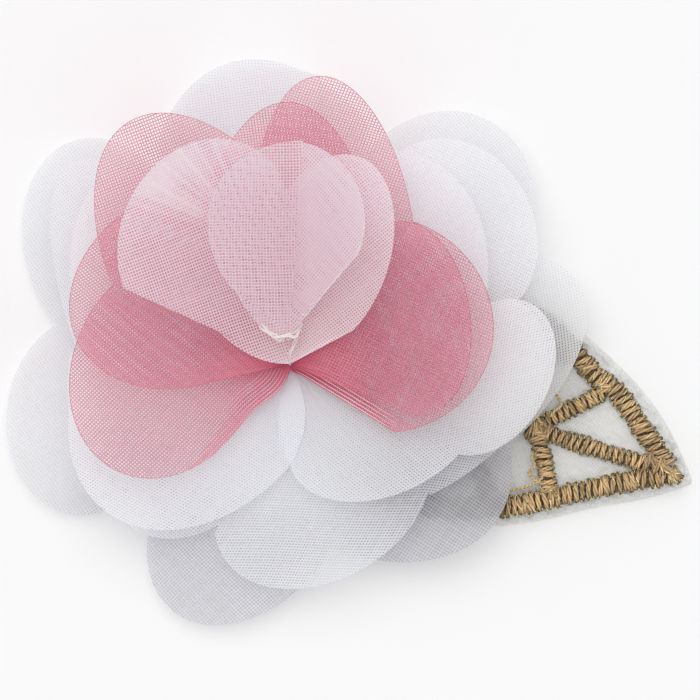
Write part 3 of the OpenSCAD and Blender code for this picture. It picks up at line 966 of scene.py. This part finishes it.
def stitches(start, end, low, top, chance, tone):
    """Stitches from start to end, both n by 2. A stitch's middle line rises as a round arch, the root of 1
    minus across squared, from low to top. It is three fine plies wound round that line. They are closer at
    the ends, where they go down through the cloth, and painted darker there, as shade; under the petals
    they are painted darker still. Gold tinsel winds once round about six in ten of them."""
    count = len(start)
    middle, half = (start + end)[:, None] / 2, (end - start)[:, None] / 2
    plan = middle + half * ACROSS[:, None]
    arch = np.sqrt(1 - ACROSS ** 2 * 0.98)
    lines = np.concatenate([plan, (low + (np.reshape(top, (-1, 1)) - low) * arch)[..., None]], -1)
    close = 1 - 0.3 * abs(ACROSS) ** 8
    # painted shade of the petals: 1 in the open, 0.15 under them
    light = painted_petal_shade(plan[..., 0], plan[..., 1])
    # painted shade: darker towards the stitch's ends, where it goes down into the cloth
    shade = np.reshape(tone, (-1, 1)) * (1 - 0.8 * abs(ACROSS) ** 3.2) * light
    thick = np.broadcast_to(PLY * close, light.shape)
    made = wound(lines, thick, PLY_OFF * close, 0.6, 3, 6, shade, 0, chance)
    some = chance.uniform(0, 1, count) < 0.6
    if some.any():
        # tinsel tone: random from dark to bright as painted reflections, and darker under the petals as
        # painted shade
        painted_glint_tone = chance.uniform(0.1, 1.5, light[some].shape) * light[some]
        thick = np.full(painted_glint_tone.shape, TINSEL)
        made += wound(lines[some] + [0, 0, 0.02], thick, TINSEL_OFF * close, 1.1, 1, 5, painted_glint_tone, 1, chance)
    return made


def glints(start, end, chance):
    """Gold tinsel round the ends of stitches. At an end it makes a small loop, open towards the band's
    middle: its place goes out by the cosine of an angle and along the band by the sine, and it rises
    towards the middle. Its tone goes at random from near black to bright, as painted reflections, and
    is painted darker under the petals, as shade."""
    way = (end - start) / np.linalg.norm(end - start, axis=1, keepdims=True)
    way, place = np.concatenate([-way, way]), np.concatenate([start, end])
    keep = chance.uniform(0, 1, len(place)) < 0.85
    way, place = way[keep], place[keep]
    along = np.stack([-way[:, 1], way[:, 0]], -1)
    one = (len(place), 1)
    turn = np.linspace(-2.2, 2.2, 9) * chance.uniform(0.7, 1.1, one) + chance.normal(0, 0.3, one)
    out, aside = 0.30 * np.cos(turn) - 0.16, 0.27 * np.sin(turn)
    plan = place[:, None] + way[:, None] * out[..., None] + along[:, None] * aside[..., None]
    height = 1.46 - 0.25 * np.cos(turn) + chance.normal(0, 0.08, one) + 0.1 * np.sin(turn)
    lines = np.concatenate([plan, height[..., None]], -1)
    # random tone from dark to bright as painted reflections, darker under the petals as painted shade
    painted_glint_tone = chance.uniform(-0.1, 1.4, turn.shape) * painted_petal_shade(plan[..., 0], plan[..., 1])
    return [tubes(lines * MM, np.full(turn.shape, 0.072) * MM, 5, painted_glint_tone, 1)]


def thread_piece(name, parts, finish, node=None):
    """One mesh of these tubes, with the thread's finish; node is the piece of the construction model that it
    replaces."""
    points, faces, uv, tone, metal = join(parts)
    piece = new_piece(name, points, faces[:, ::-1], {"Thread": uv * [1000, 1]},
                      {"tone": tone, "metal": metal})
    piece.data.materials.append(finish)
    if node:
        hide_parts(node)
    return piece


print("width of a stitch's thread, mm:", round(2 * (PLY + PLY_OFF), 2))

# %% [markdown]
# ## Bands of stitches
#
# A band is stitches side by side along a smooth line. A machine never lays two of them alike, so
# each gets its own slant, length, height and tone by chance, with a fixed seed for each band. A
# flattened tube under them stands for the padding thread that lifts the band off the cloth; it is
# painted dark, as shade in the gaps between the stitches.

# %% Satin band
# heights in millimetres: where a stitch goes down beside the padding, the padding's middle, and the top
# of an arch; then the feet and tops of the stitches that lie over others
FOOT, PADDING, TOP = 0.86, 1.2, 1.78
OVER_FOOT, OVER_TOP = 1.25, 1.9


def padding(place, widths, width):
    """A tube under the stitches, 12 sided, 0.84 of the band's width and flattened to 0.52 mm high at its
    thickest. Its dark tone of 0.15 is painted shade for the gaps between the stitches."""
    middle = np.concatenate([place, np.full((len(place), 1), PADDING)], -1)[None] * MM
    # tone 0.15: painted shade in the gaps between stitches
    tube = tubes(middle, widths[None] * MM, 12, [0.15], 0)
    round_it = tube[0].reshape(len(place), 12, 3) - middle[0][:, None]
    flat = round_it * [width * 0.42, width * 0.42, 0.26] + middle[0][:, None]
    return (flat.reshape(-1, 3), *tube[1:])


def satin_band(name, points, width, node, seed, pitch=0.64, ends=(0.0, 0.0), taper=None):
    """Stitches side by side across a smooth line, over a padding that fills the band. Each has its own
    slant, length, tone and height, and one in five lies over the others. Ends are lengths to add at either
    end, and taper gives the width along the band."""
    chance = np.random.default_rng(seed)
    total = along_line(points, np.zeros(1))[2]
    count = max(4, int(round((total + sum(ends)) / pitch)))
    step = (total + sum(ends)) / count

    def narrow(distance):
        """The part of its width that the band has at a distance along it."""
        return np.ones_like(distance) if taper is None else np.interp(distance / total, *zip(*taper))

    def feet(at, reach, slant):
        """Where stitches at these distances go down, on either side of the band."""
        place, way, _ = along_line(points, at)
        side = np.stack([-way[:, 1], way[:, 0]], -1)
        off = side * (reach * narrow(at))[:, None] + way * slant[:, None]
        return place - off, place + off

    at = -ends[0] + (np.arange(count) + 0.5) * step + chance.normal(0, 0.05, count)
    slant = 0.14 + chance.normal(0, 0.14, count)
    start, end = feet(at, width / 2 * 0.90 * (1 + chance.normal(0, 0.07, count)), slant)
    top = TOP + chance.normal(0, 0.05, count)
    parts = stitches(start, end, FOOT, top, chance, np.clip(0.85 + chance.normal(0, 0.15, count), 0.4, 1.1))
    over = chance.uniform(0, total, max(2, count // 5))
    crossing = feet(over, np.full(len(over), width / 2 * 0.8), 0.3 * chance.normal(0, 1, len(over)))
    parts += stitches(*crossing, OVER_FOOT, np.full(len(over), OVER_TOP), chance, np.full(len(over), 0.95))
    parts += glints(start, end, chance)
    pad_at = np.linspace(-ends[0] + 0.1, total + ends[1] - 0.1, max(6, int(total / 0.5)))
    parts.append(padding(along_line(points, pad_at)[0], narrow(pad_at), width))
    return thread_piece(name, parts, bronze_finish, node)


# band widths in millimetres, and the lower rail's width along it where it narrows towards the tip
RAIL, VEIN = 2.15, 1.7
tip = ([0, 1.0], [0.93, 1.0], [1.02, 0.75], [1.06, 0.25])
bands = {
    "rail_upper": ([[4.5, 5.0], [9, 6.4], [14, 6.8], [19, 6.4], [22.3, 5.6], [24.5, 4.7], [27.0, 2.7],
                    [29.0, 0.6], [30.6, -1.25], [32.7, -2.8], [34.9, -5.9], [36.5, -8.2], [37.4, -9.6]],
                   RAIL, (0.0, 0.7), None),
    "rail_lower": ([[4.4, -5.0], [6.2, -9.2], [9.6, -12.6], [14, -14.3], [21.5, -14.3], [25, -13.7],
                    [28, -13.0], [31, -12.35], [34, -11.75], [38.7, -11.1]], RAIL, (0.0, 0.3), tip),
    "midrib": ([[5.5, -0.8], [9.5, -1.6], [15, -2.7], [19, -4.0], [22.5, -5.8], [25.3, -6.8],
                [27.8, -7.6], [31.5, -8.8], [34.4, -9.65]], VEIN, (0.0, 1.6), None),
    "vein_upper_root": ([[10.6, -0.3], [13.4, 2.1], [16.0, 4.6]], VEIN, (0.2, 0.7), None),
    "vein_upper_middle": ([[19.1, -2.3], [23.0, -0.5], [27.1, 0.85]], VEIN, (0.4, 0.6), None),
    "vein_upper_tip": ([[26.05, -5.55], [27.5, -4.85], [29, -4.1], [30.9, -3.1]], VEIN, (0.5, 0.6), None),
    "vein_lower_root": ([[9.8, -2.8], [10.3, -7.5], [11.3, -11.5]], VEIN, (0.2, 0.3), None),
    "vein_lower_middle": ([[17.55, -4.8], [18.5, -9.3], [19.8, -12.7]], VEIN, (0.2, 0.4), None),
    "vein_lower_tip": ([[25.05, -8.05], [25.5, -10.0], [25.95, -12.2]], VEIN, (0.5, 0.6), None)}
for number, (node, (line, width, ends, taper)) in enumerate(bands.items()):
    satin_band(node + "_stitches", line, width, node, 40 + number, ends=ends, taper=taper)

# %% [markdown]
# ## Where the bands meet
#
# The veins start from one point on the midrib, and three bands run together at the leaf's tip.
# The machine sews a few stitches across each other there, and the tip ends in a small tuft.

# %% Crossing stitches
# middle x, middle y, length, direction in degrees, height of the arch
knots = {
    "stitches_at_the_fork": [
        [23.6, -6.2, 1.9, 50, 1.95], [24.1, -6.5, 2.0, 62, 2.0], [24.6, -6.5, 2.1, 74, 2.0],
        [25.15, -6.5, 2.0, 92, 2.05], [25.6, -6.25, 1.9, 118, 2.0], [24.85, -7.45, 1.8, 8, 1.95],
        [25.0, -7.0, 1.8, -18, 2.05], [25.75, -6.7, 1.6, 60, 2.0]],
    "stitches_at_the_tip": [
        [35.9, -9.7, 2.0, 68, 2.0], [36.4, -9.95, 2.1, 100, 2.05], [36.9, -10.1, 2.2, 60, 2.1],
        [37.3, -10.35, 2.2, 82, 2.1], [37.1, -10.0, 2.4, -35, 2.15], [37.6, -10.5, 2.4, -48, 2.1],
        [38.2, -10.7, 2.4, -33, 1.95], [38.3, -10.9, 2.2, -24, 1.9]],
    "stitches_at_the_upper_rail": [
        [31.3, -2.7, 1.8, 20, 2.0], [31.5, -2.2, 1.9, -12, 2.05], [31.0, -2.5, 1.7, 62, 1.95]],
    "stitches_at_the_lower_rail": [
        [26.1, -12.9, 1.8, 80, 2.0], [26.0, -12.6, 1.7, 20, 1.95], [26.4, -12.8, 1.7, 118, 2.0]]}


def crossing_stitches(name, rows, seed):
    """A few stitches, each with its own place, length, direction and height."""
    chance = np.random.default_rng(seed)
    middle, length, toward, height = rows[:, :2], rows[:, 2:3], np.radians(rows[:, 3]), rows[:, 4]
    way = np.stack([np.cos(toward), np.sin(toward)], -1) * length / 2
    start, end = middle - way, middle + way
    tone = np.clip(0.75 + chance.normal(0, 0.15, len(rows)), 0.35, 1)
    parts = stitches(start, end, PADDING, height, chance, tone) + glints(start, end, chance)
    return thread_piece(name, parts, bronze_finish)


for number, (name, rows) in enumerate(knots.items()):
    crossing_stitches(name, np.array(rows), 61 + number)

# %% [markdown]
# ## Loose ends
#
# A few ends of gold thread were left long when the embroidery was cut off the machine. They lie on
# the leaf as thin curls.

# %% Loose ends of thread
def loose_ends():
    """Each end is a smooth line through a few places, with two plies wound round it."""
    curls = [
        [[26.3, -2.7, 1.2], [26.9, -3.4, 1.6], [27.1, -4.2, 2.1], [26.5, -4.7, 2.2], [26.1, -5.3, 2.0]],
        [[24.6, -4.1, 1.2], [25.0, -4.7, 1.8], [24.8, -5.4, 2.0], [25.3, -6.1, 2.1]],
        [[24.9, -8.7, 1.3], [24.2, -9.3, 1.6], [24.5, -10.2, 1.9], [23.9, -10.9, 1.5], [24.5, -11.6, 1.6],
         [25.3, -12.0, 1.5]],
        [[21.0, -12.7, 1.2], [22.3, -12.65, 1.4], [23.6, -12.3, 1.5], [24.6, -11.9, 1.6], [25.4, -11.3, 1.7]]]
    chance = np.random.default_rng(71)
    parts = []
    for curl in curls:
        line = smooth(curl, 12)
        size = np.full((1, len(line)), 0.09)
        parts += wound(line[None], size, size * 0.9, walked(line)[-1] / 0.8, 2, 6, [1.0], 0.45, chance)
    return thread_piece("loose_thread_ends", parts, bronze_finish)


loose_ends()

# %% [markdown]
# ## The gathering stitch
#
# One sewing thread runs through every sheet and holds the gathers. It is wound into a coil at the
# back, under the leaf, and its end shows as a nub at the foot of the cup.

# %% Sewing thread
def sewing_thread(name, dark, light):
    """Cotton between two colours, with the twist as a slanting wave."""
    finish, new, surface = new_finish(name)
    twist = twist_wave(new, 4.0)
    feed(surface, Base_Color=twist.mix(dark, light), Roughness=0.6, Normal=bumps(new, 0.5, 0.02, twist),
         Sheen_Weight=0.2)
    return finish


def gathering_thread():
    """One thread in 26 turns: twelve make a coil at the back, up to 2 mm high, and the others pass up the
    middle as a slim helix, to 8.3 mm. The coil's radius is 0.34 mm more than the helix's 0.055 mm, and a
    steep smooth step at 2.2 mm leads from one to the other."""
    t = np.linspace(0, 26, 400)
    height = np.where(t < 12, 0.1 + t / 12 * 1.9, 2.0 + (t - 12) / 14 * 6.3)
    coil = step_up(2.2 - height, 1 / 6)
    wide = 0.34 * coil + 0.055
    line = np.stack([wide * np.cos(2 * np.pi * t), wide * np.sin(2 * np.pi * t), height], -1)
    parts = [tubes(line[None] * MM, (0.045 + 0.055 * coil)[None] * MM, 6, [0.5], 0)]
    return thread_piece("gathering_thread", parts, white_thread, "centre_stitch")


white_thread = sewing_thread("white_thread", (0.80, 0.76, 0.76), (0.97, 0.95, 0.94))
gathering_thread()

# %% [markdown]
# ## The cup's rolled edge
#
# The cup's edge was sealed with heat, which draws it into a few stuck cream strands along its right
# side and, thicker, round its foot. Some threads have frayed out of it. The strands follow the
# sheet's own grid: the outermost ring, and the column at each straight edge. A last bundle of
# them runs from the foot of the cup down to the gathering stitch.

# %% Rolled edge
def edge_lines():
    """The three lines that strands follow: the cup's right side, its left side round the foot and a little
    beyond, and the seam from the foot to the stitch, which lies on the pale sheet."""
    grid, angle = grids["cup_petal"]
    right, left = 4, len(angle) - 5
    upto, since = (right + np.searchsorted(angle[right:left], bearing) for bearing in (74, 160))
    seam = smooth([[1.15, 4.1], [0.8, 3.2], [0.4, 2.0], [0.08, 1.1], [-0.08, 0.55]], 8)
    beyond = np.array([[0.45, 2.75], [0.85, 3.3], [1.25, 4.2]])
    height = sheet_height(6, *beyond.T) + crease(*beyond.T) + NESTED[6] + 0.1
    return (np.concatenate([grid[-1, upto:right:-1], grid[::-1, right]]),
            np.concatenate([grid[-1, since:left], grid[::-1, left], np.column_stack([beyond, height])]),
            np.column_stack([seam, sheet_height(5, *seam.T) + NESTED[5] + 0.16]))


def rolled_edge(seed=81, steps=60):
    """Fine strands along parts of the cup's outline. Each follows the edge at its own small distance, which
    changes smoothly along it, and thins out to nothing at both ends. Short frayed threads stand out of the
    foot."""
    chance = np.random.default_rng(seed)
    parts = []
    # for each line: a strand's radius, how far strands stray, how many there are, how long their end is
    bundles = (0.035, 0.06, 2, 2.2), (0.095, 0.2, 7, 2.2), (0.055, 0.09, 4, 0.5)
    for line, (size, spread, strands, thinning) in zip(edge_lines(), bundles):
        length = walked(line)
        at = np.linspace(0, length[-1], steps)
        line = np.stack([np.interp(at, length, line[:, i]) for i in range(3)], -1) + [0, 0, 0.04]
        side, up = sideways(line[None])
        phase, swing = chance.uniform(0, 2 * np.pi, (2, strands, 1)), np.linspace(0, 1, steps)
        away = spread * np.sin(phase[0] + swing * 9) + chance.normal(0, spread * 0.5, (strands, 1))
        rise = spread * np.cos(phase[1] + swing * 7)
        strand = line + side * away[..., None] + up * rise[..., None]
        taper = np.sin(np.pi * np.linspace(0.02, 0.98, steps)) ** 0.4
        thick = size * taper * (1 + chance.normal(0, 0.12, (strands, steps)))
        thick = thick * np.clip((length[-1] - at) / thinning, 0.15, 1)
        parts.append(tubes(strand * MM, thick * MM, 6, chance.uniform(0.5, 1, strands), 0))
        foot = line[::2][-20:]
        t = np.linspace(0, 1, 5)[None, :, None]
        out = chance.normal(0, 0.25, (len(foot), 1, 3)) + np.array([-0.1, -0.2, 0.1])
        hair = foot[:, None] + out * t + chance.normal(0, 0.12, (len(foot), 1, 3)) * t * (1 - t) * 3
        thick = np.full(hair.shape[:2], 0.03)
        parts.append(tubes(hair * MM, thick * MM, 5, chance.uniform(0.6, 1, len(foot)), 0))
    bead = sewing_thread("cream_bead", (0.90, 0.79, 0.79), (0.96, 0.89, 0.87))
    return thread_piece("cup_rolled_edge", parts, bead)


rolled_edge()

# %% [markdown]
# ## The rose sheet's edge threads
#
# Along the straight edges of the lower rose sheet a few threads lie as pale lines on the deeper
# cloth, side by side. They are laid on as threads of their own.

# %% Edge threads
def edge_threads(steps=80):
    """Lines along an edge, each at its own distance from it, at the sheet's own height. The edge is a
    straight line from the stitch, moved by how far the sheet leans over its opening."""
    # for each edge: its bearing, the cloth's side, how far the lines go, their radius and their distances
    edges = ((RIGHT_EDGE, 1, 12.2, 0.075, np.array([0.14, 0.48, 0.84, 1.22])),
             (LEFT_EDGE, -1, 7.5, 0.05, 0.16 + 0.33 * np.arange(8)))
    parts = []
    for bearing, inward, far, size, places in edges:
        out, way = np.linspace(0.9, far, steps), math.radians(bearing)
        aside = inward * (places[:, None] - closing(inward, out))
        x, y = out * math.cos(way) - aside * math.sin(way), out * math.sin(way) + aside * math.cos(way)
        lines = np.stack([x, y, sheet_height(3, x, y) + NESTED[3] + 0.12], -1)
        thick = np.broadcast_to(size * np.sin(np.pi * np.linspace(0.02, 0.98, steps)) ** 0.5, x.shape)
        parts.append(tubes(lines * MM, thick * MM, 6, [0.5] * len(places), 0))
    pale_rose = sewing_thread("rose_thread", (0.80, 0.30, 0.40), (0.98, 0.72, 0.78))
    return thread_piece("rose_edge_threads", parts, pale_rose)


edge_threads()

# %% [markdown]
# ## Table and light
#
# The flower lies on a plain pale table. A bright even sky gives the soft light of a studio tent,
# and one large lamp from the upper left gives the folds a little shape.

# %% Table and lights
def table_top(half=1.0):
    """A flat square, two metres wide, in a plain pale finish."""
    corners = [(-half, -half, 0), (half, -half, 0), (half, half, 0), (-half, half, 0)]
    mesh = bpy.data.meshes.new("table_top")
    mesh.from_pydata(corners, [], [(0, 1, 2, 3)])
    top = bpy.data.objects.new("table_top", mesh)
    bpy.context.scene.collection.objects.link(top)
    finish, _, surface = new_finish("table_finish")
    feed(surface, Base_Color=(0.94, 0.94, 0.94, 1), Roughness=0.9, Specular_IOR_Level=0.1)
    mesh.materials.append(finish)


SKY_STRENGTH, LAMP_STRENGTH, LAMP_WIDTH = 0.71, 1.07, math.radians(60)
table_top()
sky = bpy.data.worlds.new("studio_tent")
sky.use_nodes = True
sky.node_tree.nodes["Background"].inputs[0].default_value = (1, 1, 1, 1)
sky.node_tree.nodes["Background"].inputs[1].default_value = SKY_STRENGTH
bpy.context.scene.world = sky
lamp_data = bpy.data.lights.new("soft_lamp", "SUN")
lamp_data.energy, lamp_data.angle = LAMP_STRENGTH, LAMP_WIDTH
lamp = bpy.data.objects.new("soft_lamp", lamp_data)
lamp.rotation_euler = (math.radians(-24), math.radians(-8), 0)
bpy.context.scene.collection.objects.link(lamp)
print("light: sky", SKY_STRENGTH, "and lamp", LAMP_STRENGTH)

# %% [markdown]
# ## How light is followed
#
# Light passes through many holes and threads before it reaches the table, so it is followed for
# more steps than usual. The picture's noise is smoothed only as far as the weave allows.

# %% Light paths
bpy.context.scene.view_settings.view_transform = "Standard"
path = bpy.context.scene.cycles
path.use_denoising, path.filter_width = True, 1.25
path.denoising_prefilter = "NONE"
path.transparent_max_bounces = 24
path.diffuse_bounces, path.transmission_bounces, path.max_bounces = 8, 12, 16
print("steps of light through holes:", path.transparent_max_bounces)
